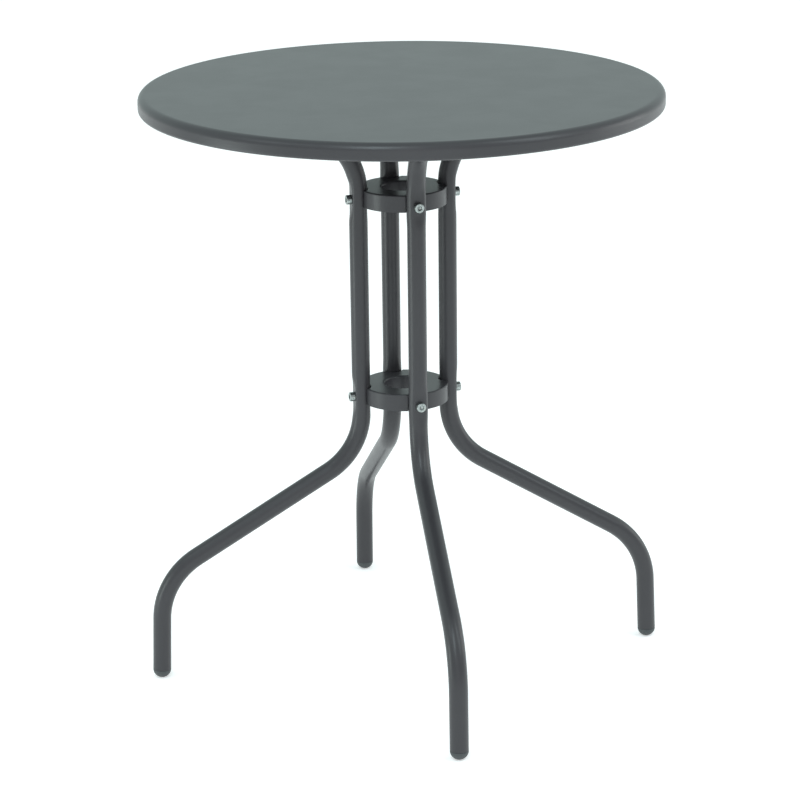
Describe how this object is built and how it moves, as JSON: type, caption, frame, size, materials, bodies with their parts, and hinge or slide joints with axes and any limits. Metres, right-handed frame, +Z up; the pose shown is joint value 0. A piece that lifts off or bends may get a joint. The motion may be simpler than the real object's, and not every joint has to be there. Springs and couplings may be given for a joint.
{
  "type": "bistro table",
  "caption": "Round bistro table: flat pressed steel top with a rounded rim on bent tube legs, held around the column by screwed rings.",
  "frame": {"origin": "on the floor under the centre of the tabletop", "axes": "+Z up, -Y towards the front leg's tube, +X towards the right leg's tube"},
  "size_m": [0.6176, 0.6176, 0.7],
  "materials": {
    "powder_coat": "semi-matte anthracite powder coat",
    "zinc": "bright zinc plate",
    "plug_plastic": "matt moulded plastic"
  },
  "bodies": {
    "root": {"tabletop": "powder_coat", "mounting_ring": "powder_coat", "upper_ring": "powder_coat", "lower_ring": "powder_coat", "leg_front": "powder_coat", "leg_right": "powder_coat", "leg_back": "powder_coat", "leg_left": "powder_coat", "foot_plug_front": "plug_plastic", "foot_plug_right": "plug_plastic", "foot_plug_back": "plug_plastic", "foot_plug_left": "plug_plastic", "end_plug_front": "plug_plastic", "end_plug_right": "plug_plastic", "end_plug_back": "plug_plastic", "end_plug_left": "plug_plastic", "upper_screw_front": "zinc", "upper_screw_right": "zinc", "upper_screw_back": "zinc", "upper_screw_left": "zinc", "lower_screw_front": "zinc", "lower_screw_right": "zinc", "lower_screw_back": "zinc", "lower_screw_left": "zinc", "top_screw_front": "zinc", "top_screw_right": "zinc", "top_screw_back": "zinc", "top_screw_left": "zinc", "upper_nut_front": "zinc", "upper_nut_right": "zinc", "upper_nut_back": "zinc", "upper_nut_left": "zinc", "lower_nut_front": "zinc", "lower_nut_right": "zinc", "lower_nut_back": "zinc", "lower_nut_left": "zinc", "top_nut_front": "zinc", "top_nut_right": "zinc", "top_nut_back": "zinc", "top_nut_left": "zinc"}
  },
  "joints": []
}
